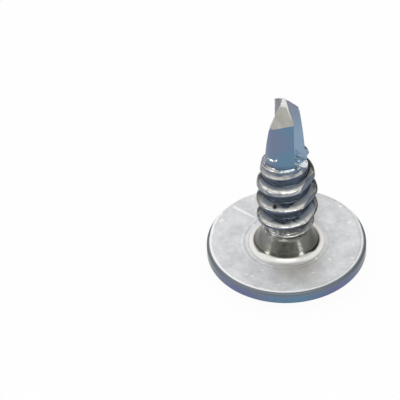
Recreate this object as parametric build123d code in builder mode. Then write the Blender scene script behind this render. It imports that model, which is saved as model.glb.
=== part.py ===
"""Self drilling screw with a wafer head and a cross recess, forged and rolled from one piece of steel.

+Z runs from the head to the drill point. The origin lies on the axis in the bearing face, which is
the underside of the head, so the head is below it and the screw stands on the crown of its head.
Azimuths are degrees about +Z from +X. All lengths are millimetres.
"""

import os
from math import cos, radians, sin, sqrt, tan

from build123d import *

# Head: a flange with a rounded shoulder, and a low crowned disc in its middle round the recess
head_diameter = 11.0
head_height = 1.6
rim_height = 0.8
rim_edge_chamfer = 0.1
shoulder_width = 0.75
flange_height = 1.2
flange_rise = 0.15
disc_diameter = 7.4
disc_step = 0.1
disc_step_run = 0.06
disc_flat_diameter = 5.6

# Cross recess: four wings that narrow with depth, over a conical bottom
recess_span = 4.4
recess_wing_width = 1.1
recess_corner_radius = 0.5
recess_wing_depth = 1.9
recess_wing_slope = 26.5
recess_side_draft = 3.0
recess_bottom_slope = 28.0

# Shank: a conical neck under the head, then a round core that carries the thread
screw_length = 13.0
neck_diameter = 4.5
neck_length = 1.6
neck_fillet = 0.35
core_diameter = 3.1

# Rolled thread, right handed: its ridge, where it fades out and leads in, and how it is turned
thread_diameter = 4.2
thread_pitch = 1.46
thread_flank_angle = 60.0
thread_crest_width = 0.1
thread_root_radius = 0.3
thread_foot_slope = 12.0
thread_foot_spread = 0.2
thread_runout_start = 1.15
thread_runout_length = 1.35
thread_full_length = 2.8
thread_lead_in_length = 2.6
thread_lead_in_diameter = 3.4
thread_phase = -22.0

# Drill point: a round blade with two lands ground flat to a depth, two flutes and two facets
drill_length = 4.7
drill_diameter = 3.16
blade_diameter = 2.88
land_depth = 0.11
land_azimuth = -102.0
lip_azimuth = -65.8
heel_tip_azimuth = -118.6
heel_base_azimuth = -161.5
shoulder_slope = 49.0
shoulder_azimuth = -133.5
facet_slope = 52.0
facet_azimuth = -115.8

# Flutes: grooves that run straight down the blade and then slant out through the first turns
flute_web = 0.16
flute_azimuth = -24.0
flute_root_radius = 0.1
flute_straight_length = 4.7
flute_runout_slope = 60.0
flute_runout_azimuth = -20.0

# How far a cutting or joining body reaches past the surface that it works on, how far the envelope
# stands clear of the full thread, and how close a corner lies to the level that it is picked by
reach = 0.3
envelope_clearance = 0.05
near = 0.001

head_radius = head_diameter / 2
disc_radius = disc_diameter / 2
neck_radius = neck_diameter / 2
core_radius = core_diameter / 2
thread_radius = thread_diameter / 2
drill_radius = drill_diameter / 2
blade_radius = blade_diameter / 2
land_apothem = blade_radius - land_depth


def polar(radius, azimuth):
    """A point in the XY plane at a radius and an azimuth."""
    return Vector(radius * cos(radians(azimuth)), radius * sin(radians(azimuth)))


def slanted(height, slope, azimuth):
    """A plane through the axis at a height, whose upper side faces outwards at an azimuth."""
    outward = polar(sin(radians(slope)), azimuth)
    return Plane(origin=(0, 0, height), z_dir=(outward.X, outward.Y, cos(radians(slope))))


# Blank: head, neck and core turned about the axis, up to where the drill point's shoulders meet
blade_base = screw_length - drill_length
shoulder_top = blade_base + core_radius * tan(radians(shoulder_slope))
ring_level = flange_height + flange_rise
ring_foot = (disc_radius + disc_step_run, -ring_level)
disc_edge = (disc_radius, -ring_level - disc_step)
disc_flat_edge = (disc_flat_diameter / 2, -head_height)
shoulder_foot = (head_radius - shoulder_width, -flange_height)
flange_way = (shoulder_foot[0] - ring_foot[0], flange_rise)


def bearing_corners():
    """The blank profile's corners at the level of the bearing face, from the neck out to the rim."""
    return blank_profile.vertices().filter_by_position(Axis.Y, -near, near).sort_by(Axis.X)


with BuildPart() as blank:
    with BuildSketch(Plane.XZ) as blank_profile:
        with BuildLine():
            Line((0, -head_height), disc_flat_edge)
            TangentArc(disc_flat_edge, disc_edge, tangent=(1, 0))
            Polyline(disc_edge, ring_foot, shoulder_foot)
            TangentArc(shoulder_foot, (head_radius, -rim_height), tangent=flange_way)
            Polyline(
                (head_radius, -rim_height),
                (head_radius, 0),
                (neck_radius, 0),
                (core_radius, neck_length),
                (core_radius, shoulder_top),
                (0, shoulder_top),
                (0, -head_height),
            )
        make_face()
        fillet(bearing_corners()[0], neck_fillet)
        chamfer(bearing_corners()[-1], rim_edge_chamfer)
    revolve(axis=Axis.Z)
    for turn in (0, 180):
        split(bisect_by=slanted(shoulder_top, shoulder_slope, shoulder_azimuth + turn), keep=Keep.BOTTOM)

# Blade: a round bar with lips that stand out, and a flat across each land behind its lip
lip_corner = polar(drill_radius, lip_azimuth)
land_half_span = sqrt(blade_radius**2 - land_apothem**2)
land_end = polar(land_apothem, land_azimuth) + polar(land_half_span, land_azimuth - 90)
blade_side = polar(blade_radius, land_azimuth - 90)

with BuildPart() as blade:
    with BuildSketch(Plane.XY.offset(blade_base - reach)):
        with BuildLine():
            Line(lip_corner, land_end)
            ThreePointArc(land_end, blade_side, -lip_corner)
            Line(-lip_corner, -land_end)
            ThreePointArc(-land_end, -blade_side, lip_corner)
        make_face()
    extrude(amount=drill_length + 2 * reach)

# Thread: a V with a narrow flat crest and rounded feet that sink into the core, swept on the helix
half_flank = radians(thread_flank_angle / 2)
tooth_height = thread_radius - core_radius
crest_edge = thread_crest_width / 2
foot_width = crest_edge + tooth_height * tan(half_flank)
foot_end = foot_width + thread_foot_spread
foot_sink = -thread_foot_spread * tan(radians(thread_foot_slope))
tooth_base = foot_sink - reach / 2
thread_start = thread_runout_start - thread_pitch / 2
thread_full_start = thread_runout_start + thread_runout_length
lead_in_start = thread_full_start + thread_full_length
lead_in_end = lead_in_start + thread_lead_in_length

with BuildPart() as thread:
    with BuildLine() as helix:
        Helix(thread_pitch, lead_in_end - thread_start, core_radius, center=(0, 0, thread_start))
    with BuildSketch(Plane(helix.line @ 0, x_dir=(1, 0, 0), z_dir=helix.line % 0)) as tooth:
        with BuildLine():
            Polyline(
                (tooth_base, -foot_end),
                (foot_sink, -foot_end),
                (0, -foot_width),
                (tooth_height, -crest_edge),
                (tooth_height, crest_edge),
                (0, foot_width),
                (foot_sink, foot_end),
                (tooth_base, foot_end),
                close=True,
            )
        make_face()
        feet = tooth.vertices().filter_by_position(Axis.X, -near, near)
        fillet(feet, thread_root_radius)
    sweep(path=helix.line, is_frenet=True)

# Ridge: the thread, turned to its phase and trimmed to the envelope of its fading ends. The envelope
# is turned with it, so that its seam stays a quarter turn past the thread's end and clear of it.
envelope_radius = thread_radius + envelope_clearance
runout_rise = thread_runout_length / (thread_radius - core_radius - tooth_base)
lead_in_fall = thread_lead_in_length / (thread_radius - thread_lead_in_diameter / 2)
thread_turn = 360 * (lead_in_end - thread_start) / thread_pitch

with BuildPart() as envelope:
    with BuildSketch(Plane.XZ):
        with BuildLine():
            Polyline(
                (0, thread_runout_start),
                (core_radius + tooth_base, thread_runout_start),
                (envelope_radius, thread_full_start + envelope_clearance * runout_rise),
                (envelope_radius, lead_in_start - envelope_clearance * lead_in_fall),
                (thread_lead_in_diameter / 2, lead_in_end),
                (0, lead_in_end),
                close=True,
            )
        make_face()
    revolve(axis=Axis.Z)

with BuildPart() as ridge:
    add(thread.part.rotate(Axis.Z, thread_phase))
    add(envelope.part.rotate(Axis.Z, thread_phase + thread_turn + 90), mode=Mode.INTERSECT)

# Flute cutter: its front wall passes through the lip, and its back wall through the other heel
flute_top = screw_length + reach
flute_bend = screw_length - flute_straight_length
flute_root = polar(flute_web / 2, flute_azimuth)
runout_way = polar(tan(radians(flute_runout_slope)), flute_runout_azimuth) - Vector(0, 0, 1)
runout_length = (thread_radius + reach) / sin(radians(flute_runout_slope))


def flute_section(height, heel_azimuth):
    """The groove's level section at a height: a V with a rounded root, wider than the screw."""
    heel = polar(blade_radius, heel_azimuth + 180)
    with BuildSketch(Plane.XY.offset(height)) as section:
        with BuildLine():
            Polyline(
                flute_root,
                flute_root + (lip_corner - flute_root).normalized() * thread_diameter,
                polar(thread_diameter, flute_azimuth),
                flute_root + (heel - flute_root).normalized() * thread_diameter,
                close=True,
            )
        make_face()
        fillet(section.vertices().sort_by_distance((0, 0, height))[0], flute_root_radius)
    return section.sketch


with BuildPart() as flute:
    add(flute_section(flute_top, heel_tip_azimuth))
    add(flute_section(flute_bend, heel_base_azimuth))
    loft()
    add(flute_section(flute_bend, heel_base_azimuth))
    extrude(amount=runout_length, dir=runout_way)

# Recess cutter: a drafted cross, kept within a cone that carries the wings' outer ends
recess_mouth = -head_height - reach
recess_cone_top = recess_span / 2 + reach * tan(radians(recess_wing_slope))
wing_end_radius = recess_span / 2 - recess_wing_depth * tan(radians(recess_wing_slope))
recess_depth = recess_wing_depth + wing_end_radius * tan(radians(recess_bottom_slope))


def cross_section(depth):
    """The cross at a depth below its mouth: the draft narrows the wings and rounds the corners."""
    inset = depth * tan(radians(recess_side_draft))
    width = recess_wing_width - 2 * inset
    with BuildSketch(Plane.XY.offset(recess_mouth + depth)) as cross:
        Rectangle(2 * recess_span, width)
        Rectangle(width, 2 * recess_span)
        inner_corners = cross.vertices().sort_by_distance((0, 0, recess_mouth + depth))[0:4]
        fillet(inner_corners, recess_corner_radius + inset)
    return cross.sketch


with BuildPart() as recess:
    add(cross_section(0))
    add(cross_section(recess_depth + 2 * reach))
    loft(ruled=True)
    with BuildSketch(Plane.XZ):
        with BuildLine():
            Polyline(
                (0, recess_mouth),
                (recess_cone_top, recess_mouth),
                (wing_end_radius, -head_height + recess_wing_depth),
                (0, -head_height + recess_depth),
                close=True,
            )
        make_face()
    revolve(axis=Axis.Z, mode=Mode.INTERSECT)

# Screw: one solid, with its flutes, its ground facets and its recess cut last
with BuildPart() as screw:
    add([blank.part, blade.part, ridge.part])
    with PolarLocations(0, 2):
        add(flute.part, mode=Mode.SUBTRACT)
    for turn in (0, 180):
        split(bisect_by=slanted(screw_length, facet_slope, facet_azimuth + turn), keep=Keep.BOTTOM)
    add(recess.part, mode=Mode.SUBTRACT)

os.makedirs("parts", exist_ok=True)
screw.part.label = "screw"
export_step(screw.part, "parts/screw.step")
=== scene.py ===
# %% [markdown]
# # A self drilling screw with a wafer head
# This lesson dresses one zinc plated screw, 13 mm long under a head 11 mm across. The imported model
# gives the frame: metres, +Z from the head to the drill point, and the origin in the bearing face,
# the underside of the head. The screw stands on the crown of its head.

# %% Load the frame
from math import radians, tan

import bpy
import numpy as np
from mathutils import Matrix, Vector


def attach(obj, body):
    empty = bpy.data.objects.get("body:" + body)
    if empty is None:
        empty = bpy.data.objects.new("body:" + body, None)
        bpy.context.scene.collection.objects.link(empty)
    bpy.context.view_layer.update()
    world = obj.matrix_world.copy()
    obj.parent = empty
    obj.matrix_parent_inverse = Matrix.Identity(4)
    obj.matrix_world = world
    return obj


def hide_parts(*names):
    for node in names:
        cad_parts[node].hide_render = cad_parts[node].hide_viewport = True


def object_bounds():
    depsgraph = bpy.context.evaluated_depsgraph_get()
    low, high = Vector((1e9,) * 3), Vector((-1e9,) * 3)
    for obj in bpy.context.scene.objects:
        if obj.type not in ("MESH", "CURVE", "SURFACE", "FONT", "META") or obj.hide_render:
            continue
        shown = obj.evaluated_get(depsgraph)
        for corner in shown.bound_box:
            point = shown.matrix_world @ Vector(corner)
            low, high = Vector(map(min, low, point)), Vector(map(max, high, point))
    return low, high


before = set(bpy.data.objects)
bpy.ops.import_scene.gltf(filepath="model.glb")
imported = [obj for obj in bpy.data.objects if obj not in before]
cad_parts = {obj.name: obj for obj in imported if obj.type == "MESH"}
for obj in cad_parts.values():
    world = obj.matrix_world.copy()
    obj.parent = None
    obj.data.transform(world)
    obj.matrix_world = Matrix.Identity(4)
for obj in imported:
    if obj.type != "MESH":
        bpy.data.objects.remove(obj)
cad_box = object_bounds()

print("CAD box in mm:", [[round(1000 * x, 3) for x in corner] for corner in cad_box])

# %% [markdown]
# ## Camera
# Small things are looked at closely through a long lens, so the lines of the screw hardly converge.
# The camera stands half a metre away, about 42 degrees above the table, and is rolled a little to the
# side. Its three directions could be set by turning it by hand. Here they are worked out as vectors, so
# that the screw's axis lands on a chosen pixel of the picture.

# %% Camera
elevation = radians(41.56)
roll = radians(1.65)
distance = 0.5
pixels_per_metre = 14517.0
aim_pixel = (286.43, 240.74)
picture = 400
film_width = 36

forward = Vector((0, np.cos(elevation), -np.sin(elevation)))
level = Vector((1, 0, 0))
upward = Vector((0, np.sin(elevation), np.cos(elevation)))
camera_up = upward * np.cos(roll) + level * np.sin(roll)
camera_right = level * np.cos(roll) - upward * np.sin(roll)
aim_right, aim_down = [(pixel - picture / 2) / pixels_per_metre for pixel in aim_pixel]
place = -forward * distance - camera_right * aim_right + camera_up * aim_down

lens = bpy.data.cameras.new("camera")
lens.sensor_width = film_width
lens.lens = film_width * distance / (picture / pixels_per_metre)
lens.clip_start = 0.01
camera = bpy.data.objects.new("camera", lens)
turned = Matrix((camera_right, camera_up, -forward)).transposed().to_4x4()
camera.matrix_world = Matrix.Translation(place) @ turned
scene = bpy.context.scene
scene.collection.objects.link(camera)
scene.camera = camera
scene.view_settings.view_transform = "Standard"
print("lens", round(lens.lens), "mm")

# %% [markdown]
# ## The grid of the screw
# A screw is one skin wrapped round one axis. So its mesh is a grid: rings run round the axis, and
# columns run from the bottom of the recess, over the head and up the shank, to the drill point.
# A grid gives clean quads everywhere, but the columns have to crowd where the form turns sharply:
# at the wings of the cross recess, and at the lips, roots and heels of the two flutes.
# All sizes here are millimetres, and the finished mesh is brought to metres at the end.

# %% Columns
columns = 232
half = columns // 2
column = np.arange(columns)
even = -180 + 360 * column / columns
no_limit = np.zeros(columns)
rings = []      # each ring: azimuths, radii, heights and how far out the flutes leave steel
print(columns, "columns,", round(360 / columns, 2), "degrees apart where they are even")

# %% [markdown]
# ## Rounded meetings
# Dies and punches leave no sharp inner corners. Where two surfaces of the screw meet, each ring takes
# the smaller or the larger of their two radii and eases it over a short reach. A bevel would do that
# too, but Geometry Nodes know the same function, so the blank and the rolled thread agree.

# %% Helpers for edges and spacing
def smooth_min(a, b, reach):
    """The smaller of two values, eased where they meet, as Blender's Smooth Minimum does it."""
    near = np.maximum(reach - np.abs(a - b), 0) / reach
    return np.minimum(a, b) - near ** 3 * reach / 6


def smooth_max(a, b, reach):
    return -smooth_min(-a, -b, reach)


def crowd(share, strength):
    """Shares from 0 to 1 that crowd towards both ends."""
    return share - strength * np.sin(2 * np.pi * share) / (2 * np.pi)


def ease_in(value, start, end):
    """0 before start, 1 after end, and smooth between them."""
    share = np.clip((value - start) / (end - start), 0, 1)
    return share * share * (3 - 2 * share)


def direction(azimuth):
    return np.stack([np.cos(np.radians(azimuth)), np.sin(np.radians(azimuth))], -1)


print("eased over 0.2 mm, two equal radii lose", round(1 - smooth_min(1.0, 1.0, 0.2), 3), "mm")

# %% [markdown]
# ## Recess
# The cross recess is stamped by a punch with four tapered wings over a blunt cone. A level cut
# through the hole is a cross, held inside the circle of the punch's cone, so each ring is the smaller
# of the two radii. The punch leaves a softly rounded mouth.

# %% Shape of the cross
crown_level = -1.6
wing_span, wing_width, inner_corner = 4.4, 1.1, 0.5
wing_depth, wing_slope, side_draft, bottom_slope = 1.9, 26.5, 3.0, 28.0
mouth_round = 0.06
end_round = 0.08
wing_end = wing_span / 2 - wing_depth * tan(radians(wing_slope))
recess_depth = wing_depth + wing_end * tan(radians(bottom_slope))


def cross_radius(azimuth, depth):
    """The drafted cross's radius at an azimuth: a wing's side, or the rounded inner corner."""
    inset = depth * tan(radians(side_draft))
    side = wing_width / 2 - inset
    corner = inner_corner + inset
    fold = np.radians(45 - np.abs(azimuth % 90 - 45))
    wall = side / np.maximum(np.sin(fold), 1e-6)
    centre = side + corner
    along = centre * (np.cos(fold) + np.sin(fold))
    arc = along - np.sqrt(np.maximum(along ** 2 - 2 * centre ** 2 + corner ** 2, 0))
    return np.where(wall * np.cos(fold) > centre, wall, arc)


print("recess", round(recess_depth, 2), "mm deep")

# %% [markdown]
# ## Columns along the cross
# With even steps round the axis, a wing's side would get only one or two columns. So a quarter of the
# mouth is walked with fine steps, and the columns are set at equal lengths along it.

# %% Columns of the recess
quarter_turn = np.linspace(0, 90, 4001)
mouth = smooth_min(cross_radius(quarter_turn, 0.0), wing_span / 2, end_round)
points = mouth[:, None] * direction(quarter_turn)
run = np.concatenate([[0], np.cumsum(np.linalg.norm(np.diff(points, axis=0), axis=1))])
quarter = np.interp(np.linspace(0, run[-1], columns // 4, endpoint=False), run, quarter_turn)
crossing = (quarter[None, :] + np.array([-180, -90, 0, 90])[:, None]).ravel()
print("a quarter of the mouth is", round(run[-1], 2), "mm long")

# %% [markdown]
# ## Rings of the recess
# The rings climb the blunt cone at the bottom, then the tapered walls of the wings, and turn over the
# softly rounded mouth into the crown of the head.

# %% Recess rings
def recess_ring(depth, cone_radius, widen=0.0):
    radius = smooth_min(cross_radius(crossing, depth), cone_radius, end_round) + widen
    height = np.full(columns, crown_level + depth)
    rings.append((crossing, radius, height, no_limit))


for radius in np.linspace(0.1, wing_end, 13):
    recess_ring(recess_depth - radius * tan(radians(bottom_slope)), radius)
for depth in np.linspace(wing_depth, mouth_round, 22)[1:]:
    recess_ring(depth, wing_span / 2 - depth * tan(radians(wing_slope)))
for bend in np.radians([22, 45, 67, 90]):
    widen = mouth_round * (1 - np.cos(bend))
    recess_ring(mouth_round * (1 - np.sin(bend)), wing_span / 2, widen)
mouth_radius = rings[-1][1]
print("recess:", len(rings), "rings")

# %% [markdown]
# ## Head
# Upsetting in a die gives the head its crown, a low step, the rounded shoulder and the upright rim.
# The profile is a chain of corners with a rounding at each. It is sampled by how far it runs and how
# much it turns, so the rings crowd at the bends and spread on the flats.

# %% A path with rounded corners
def chain(corners):
    """A fine path through corners (radius, height, rounding)."""
    path = [np.array(corners[0][:2])]
    for before, here, after in zip(corners, corners[1:], corners[2:]):
        point = np.array(here[:2])
        back, on = np.array(before[:2]) - point, np.array(after[:2]) - point
        back, on = back / np.linalg.norm(back), on / np.linalg.norm(on)
        reach = here[2] / np.tan(np.arccos(np.clip(back @ on, -1, 1)) / 2)
        for t in np.linspace(0, 1, 25):
            path.append(point + reach * ((1 - t) ** 2 * back + t ** 2 * on))
    path.append(np.array(corners[-1][:2]))
    return np.array(path)


def arc(start, way, end, steps=24):
    """Corners along the circle that leaves start along way and ends at end."""
    start, end = np.array(start), np.array(end)
    way = np.array(way) / np.linalg.norm(way)
    chord = end - start
    turn = 2 * np.arctan2(way[0] * chord[1] - way[1] * chord[0], way @ chord)
    radius = np.linalg.norm(chord) / (2 * np.sin(turn / 2))
    left = np.array([-way[1], way[0]])
    return [tuple(start + radius * (np.sin(a) * way + (1 - np.cos(a)) * left)) + (0.0,)
            for a in np.linspace(0, turn, steps + 1)]


print("a quarter circle is walked in", len(arc((1, 0), (0, 1), (0, 1))) - 1, "steps")

# %% [markdown]
# ## Rings where the profile bends
# Even steps along the profile would waste rings on the flats and miss the bends. So a step costs its
# length and also its turn, and the rings are set at equal costs.

# %% Points along a path
def sampled(path, spacing, bend=14.0):
    """Points along a path, a spacing apart on the flat and a bend in degrees apart on a curve."""
    step = np.diff(path, axis=0)
    length = np.linalg.norm(step, axis=1)
    keep = length > 1e-9
    step, length, path = step[keep], length[keep], np.concatenate([path[:1], path[1:][keep]])
    heading = np.degrees(np.unwrap(np.arctan2(step[:, 1], step[:, 0])))
    turned = np.abs(np.diff(heading))
    cost = length / spacing
    cost[1:] += turned / 2 / bend
    cost[:-1] += turned / 2 / bend
    run = np.concatenate([[0], np.cumsum(cost)])
    marks = np.linspace(0, run[-1], max(2, int(round(run[-1]))) + 1)
    return np.stack([np.interp(marks, run, path[:, axis]) for axis in (0, 1)], 1)


bent = chain([(0, 0, 0), (1, 0, 0.2), (1, 1, 0)])
print("a rounded corner with arms of 1 mm gets", len(sampled(bent, 0.17)), "rings")

# %% [markdown]
# ## Rings of the head
# The rings between the cross and the crown's round edge change from one outline to the other, and the
# columns spread from the wings to even steps. From there the head is turned round its axis, which a
# Spin or a Screw modifier could do as well, but only a grid runs on into the blade without a seam.

# %% Head rings
head_radius = 5.495
neck_radius, core_radius, neck_length = 2.21, 1.55, 1.6
neck_top = 1.0      # where the rings of the shank take over from the profile
crown_edge = 2.8
for share in np.linspace(0, 1, 9)[1:-1]:
    radius = mouth_radius * (1 - share) + crown_edge * share
    azimuth = crossing * (1 - share) + even * share
    rings.append((azimuth, radius, np.full(columns, crown_level), no_limit))

crown_rim, step_foot, step_round = (3.70, -1.45), (3.76, -1.35), 0.03
shoulder_start, rim_foot = (4.75, -1.2), (head_radius, -0.8)
step_way = (shoulder_start[0] - step_foot[0], shoulder_start[1] - step_foot[1])
crown = arc((crown_edge, crown_level), (1, 0), crown_rim)
shoulder = arc(shoulder_start, step_way, rim_foot)
neck_narrowing = (neck_radius - core_radius) / neck_length
corners = crown[:-1] + [crown_rim + (step_round,), step_foot + (step_round,)] + shoulder
corners += [(head_radius, 0, 0.2), (neck_radius, 0, 0.6)]
corners += [(neck_radius - neck_narrowing * neck_top, neck_top, 0)]
for radius, height in sampled(chain(corners), 0.17):
    rings.append((even, np.full(columns, radius), np.full(columns, height), no_limit))
print("rings up to the neck:", len(rings))

# %% [markdown]
# ## Drill point
# The blade is pinched flat between two dies: two lands, two V-shaped flutes and a chisel edge in the
# middle. A flute's front wall holds the cutting lip, its back wall ends at the heel of the next land.
# The columns are tied to lip, root and heel at every height, so these edges stay crisp.

# %% Sizes of the flutes
lip_radius, lip_azimuth = 1.58, -65.8
blade_radius, land_half = 1.44, -124.5
root_radius, root_azimuth, root_round = 0.08, -24.0, 0.17
flute_bend, flute_top = 8.2, 13.3
slide, slide_azimuth = tan(radians(51)), 18.5
graze_azimuth, graze_depth, graze_slope = -35.0, 2.0, 0.11
heel_base, heel_tip = -161.5, -118.6
shoulder_level, shoulder_fall, off_centre = 8.3, 1.0, 0.1
tip_level, facet_slope, facet_azimuth = 13.0, 52.0, -115.8
pressed_round = 0.02        # the small rounding where a flute's wall meets the blank


def unit(vector):
    return vector / np.linalg.norm(vector, axis=-1, keepdims=True)


lip_point = lip_radius * direction(lip_azimuth)
root_point = root_radius * direction(root_azimuth)
front_way = unit(lip_point - root_point)
print("a front wall is", round(np.linalg.norm(lip_point - root_point), 2), "mm wide")

# %% [markdown]
# ## Walls of the flutes
# A flute could be cut out of the blank with a Boolean modifier, but that leaves long thin triangles.
# Here each wall is a ruled surface, and a ray from the axis is asked where it meets one. The further of
# the two walls is where the steel ends. Above the bend the back wall turns as it climbs, and below it
# the root runs out sideways, as the dies opened there.

# %% Where the walls cut a ray
def flute_root(height):
    drop = np.maximum(flute_bend - height, 0)[..., None]
    return root_point + slide * drop * direction(slide_azimuth)


def back_way(height):
    ways = [unit(blade_radius * direction(heel + 180) - root_point) for heel in (heel_base, heel_tip)]
    share = np.clip((height - flute_bend) / (flute_top - flute_bend), 0, 1)[..., None]
    return unit(ways[0] * (1 - share) + ways[1] * share)


def cross(a, b):
    return a[..., 0] * b[..., 1] - a[..., 1] * b[..., 0]


sunk = flute_root(np.array([7.0]))[0]
print("7 mm up, a flute's root has slid", round(float(np.linalg.norm(sunk - root_point)), 2), "mm out")

# %% [markdown]
# ## What the flutes leave
# A ray that meets neither wall leaves the steel whole, so its limit is far out in the air. Lower down
# the dies only grazed the crests of the thread on one side, in a flat that leans a little.

# %% How far out the steel reaches
open_air = 99.0
graze_end, graze_level, narrowest_graze = 8.0, 4.7, 0.5


def flute_limit(azimuth, height):
    """How far out the steel reaches at an azimuth before it meets a flute's walls."""
    limit = np.full(azimuth.shape, open_air)
    root, back = flute_root(height), back_way(height)
    for turn in (0, 180):
        ray = direction(azimuth - turn)
        front_rate = cross(front_way, ray)
        back_rate = cross(ray, back)
        inside = (front_rate > 1e-9) & (back_rate > 1e-9)
        to_front = cross(front_way, root) / np.where(inside, front_rate, 1)
        to_back = cross(root, back) / np.where(inside, back_rate, 1)
        wall = smooth_max(to_front, to_back, root_round)
        limit = np.where(inside, np.minimum(limit, wall), limit)
        across = np.cos(np.radians(azimuth - turn - graze_azimuth))
        graze = (graze_depth + graze_slope * (graze_level - height)) / np.maximum(across, 0.3)
        grazed = (across > narrowest_graze) & (height < graze_end)
        limit = np.where(grazed, np.minimum(limit, graze), limit)
    return limit


tried = flute_limit(np.array([root_azimuth]), np.array([10.0]))
print("the root's fillet lies", round(float(tried[0]), 2), "mm from the axis, 10 mm up")

# %% [markdown]
# ## Blank of the blade
# Under the flutes the blade is a bar with two flats, the lands, and it stands in the core on two
# shoulders. Their edge is higher in front than at the sides, where the dies squeezed out a low burr.

# %% Outline of the blank
flat_from, flat_to = -98, -62       # azimuths between which a land is flat
seam = 18.5                         # azimuth where one half of the blade meets the other
blade_foot = 7.5
heel_round, blade_round, shoulder_round, neck_round = 0.04, 0.03, 0.06, 0.1
burr_height, burr_width = 0.06, 0.16
front_slope, side_slope = 0.22, 1.2     # how steeply the shoulder falls outwards


def outline(azimuth, height):
    """The radius of the blank: core, shoulders and the blade's lands, before the flutes."""
    local = (azimuth + 180 - seam) % 180 - 180 + seam
    land_point = blade_radius * direction(land_half)
    along = unit(land_point - lip_point)
    flat = cross(lip_point, along) / np.minimum(cross(direction(local), along), -0.55)
    flat = np.where(local > flat_from - 2, np.minimum(flat, lip_radius + 0.1), flat)
    blade = np.where(local < flat_from, smooth_min(flat, blade_radius, heel_round), flat)
    blade = np.where(local > flat_to, blade_radius, blade)
    neck = neck_radius - neck_narrowing * height
    rolled = off_centre / 2 * (np.cos(np.radians(azimuth)) - 1)
    core = smooth_max(neck, core_radius + rolled, neck_round)
    sideways = np.abs(np.cos(np.radians(azimuth)))
    edge_level = shoulder_level - shoulder_fall * ease_in(sideways, 0.8, 1.0)
    aside = ease_in(sideways, 0.25, 0.6)
    burr = burr_height * aside * np.exp(-((height - edge_level + 0.1) / burr_width) ** 2)
    slope = front_slope + (side_slope - front_slope) * aside
    shoulder = core_radius + slope * (edge_level + 0.05 - height)
    core = smooth_min(core + burr, shoulder, shoulder_round)
    return smooth_max(core, np.where(height > blade_foot, blade, 0), blade_round)


front_side = outline(np.array([-90.0]), np.array([5.0]))
print("radius in front, 5 mm up:", round(float(front_side[0]), 3), "mm")

# %% [markdown]
# ## Columns of the blade
# On the blade the columns follow its edges: each half turn has columns for one land, one front wall
# and one back wall, crowded at the lip, the root and the heel. They are found on a circle round the
# axis, because the walls turn as they climb.

# %% Columns of the blade
land_columns, front_columns, back_columns = 54, 28, 34
first_column = 12
place_in_half = (column - first_column) % half
half_turn = 180 * ((column - first_column) // half)
tied_from = 7.4                         # below this height the places stay as they are
circle_low, circle_shrink, circle_end = 1.75, 0.28, 8.1


def bearing(point):
    """The azimuth in which a point lies."""
    return np.degrees(np.arctan2(point[..., 1], point[..., 0]))


def tied(height):
    """The azimuth of each column where flutes run: even on the lands, close on the walls."""
    level = np.maximum(height, tied_from)
    circle = (circle_low - circle_shrink * ease_in(level, blade_foot, circle_end))[..., None]
    root, back = flute_root(level), back_way(level)

    def edge(way):
        """Where a wall that leaves the root along a way meets the circle."""
        along = np.sum(root * way, -1, keepdims=True)
        squares = along ** 2 + circle ** 2 - np.sum(root ** 2, -1, keepdims=True)
        return root + way * (np.sqrt(squares) - along)

    lip, heel = edge(front_way + 0 * root), edge(back)
    on_land = crowd(np.clip(place_in_half / land_columns, 0, 1), 0.6)
    on_front = crowd(np.clip((place_in_half - land_columns) / front_columns, 0, 1), 0.5)[:, None]
    on_back = crowd(np.clip((place_in_half - half + back_columns) / back_columns, 0, 1), 0.5)[:, None]
    land = bearing(heel) - 180 + (bearing(lip) - bearing(heel) + 180) * on_land
    front = bearing(lip + (root - lip) * on_front)
    behind = bearing(root + (heel - root) * on_back)
    azimuth = np.where(place_in_half < land_columns, land,
                       np.where(place_in_half < half - back_columns, front, behind))
    return azimuth + half_turn


print(land_columns + front_columns, "columns from heel to root,", back_columns, "on the back wall")

# %% [markdown]
# ## Rings of the shank
# The thread is rolled onto these rings later, so they lie close and evenly, about 44 to a turn of the
# thread. On the way up the columns drift from even steps to the places that the blade needs.

# %% Shank rings
spacing = 0.0335
shank_end, drift_end = 7.95, 5.3
for height in np.arange(neck_top + spacing, shank_end, spacing):
    level = np.full(columns, height)
    share = ease_in(height, neck_top, drift_end)
    azimuth = even * (1 - share) + tied(level) * share
    rings.append((azimuth, outline(azimuth, level), level, flute_limit(azimuth, level)))
print("rings up to the blade:", len(rings))

# %% [markdown]
# ## Rings of the blade and its facets
# Two flat facets are ground across the tip, and they meet in the chisel edge. The sides are drawn up
# to the facets' edge, whose height depends on the outline there, so it is found by trying and mending
# a few times.

# %% Blade rings
blade_start = rings[-1][2][0]


def steel(azimuth, height):
    return smooth_min(outline(azimuth, height), flute_limit(azimuth, height), pressed_round)


def facet_height(azimuth, radius):
    return tip_level - tan(radians(facet_slope)) * np.abs(
        radius * np.cos(np.radians(azimuth - facet_azimuth)))


first_guess, mends = 12.0, 12
top = np.full(columns, first_guess)
for _ in range(mends):
    azimuth = tied(top)
    top = 0.5 * top + 0.5 * facet_height(azimuth, steel(azimuth, top))
shares = np.concatenate([np.linspace(0, 0.5, 41)[1:], np.linspace(0.5, 1, 17)[1:]])
for share in shares:
    height = blade_start + (top - blade_start) * share
    azimuth = tied(height)
    rings.append((azimuth, outline(azimuth, height), height, flute_limit(azimuth, height)))
side_rings = len(rings)
edge_azimuth, edge_radius, edge_limit = rings[-1][0], steel(rings[-1][0], top), rings[-1][3]
print("facet edge between", np.round([top.min(), top.max()], 2), "mm")

# %% [markdown]
# ## The facets
# A facet is flat, so its rings are the edge's ring, shrunk step by step towards the axis, with each
# point's height read from the facet's slope.

# %% Facet rings
for shrink in 1 - np.linspace(0, 1, 14)[1:-1]:
    height = facet_height(edge_azimuth, edge_radius * shrink)
    rings.append((edge_azimuth, outline(edge_azimuth, top) * shrink, height, edge_limit * shrink))
print(len(rings), "rings,", len(rings) - side_rings, "of them on the facets")

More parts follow.
